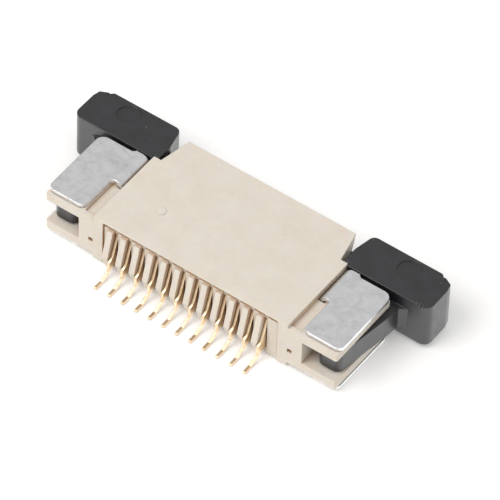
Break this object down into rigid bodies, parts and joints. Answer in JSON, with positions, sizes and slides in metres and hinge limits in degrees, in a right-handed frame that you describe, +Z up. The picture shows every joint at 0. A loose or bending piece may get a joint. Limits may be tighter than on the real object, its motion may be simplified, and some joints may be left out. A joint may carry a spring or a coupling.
{
  "type": "fpc connector",
  "caption": "Right-angle surface-mount socket for a flat flexible cable, with gull-wing solder contacts, folded fitting nails and a sliding lock.",
  "frame": {"origin": "centre of the footprint, from the tips of the solder feet to the back of the closed slider, on the board surface", "axes": "+Z up from the board, +Y towards the cable mouth, +X along the contact row"},
  "size_m": [0.0262, 0.0108, 0.0037],
  "materials": {
    "housing": "fine matt moulding",
    "slider": "satin moulding",
    "fitting_nail": "satin tin plate",
    "contact": "thin gold plate"
  },
  "bodies": {
    "base": {"housing": "housing", "hold_down_left": "fitting_nail", "hold_down_right": "fitting_nail", "contact_01": "contact", "contact_02": "contact", "contact_03": "contact", "contact_04": "contact", "contact_05": "contact", "contact_06": "contact", "contact_07": "contact", "contact_08": "contact", "contact_09": "contact", "contact_10": "contact", "contact_11": "contact", "contact_12": "contact"},
    "lock": {"slider": "slider"}
  },
  "joints": [
    {"name": "lock_slide", "type": "slide", "parent": "base", "child": "lock", "axis": [0, 1, 0], "range_m": [0, 0.0012]}
  ]
}
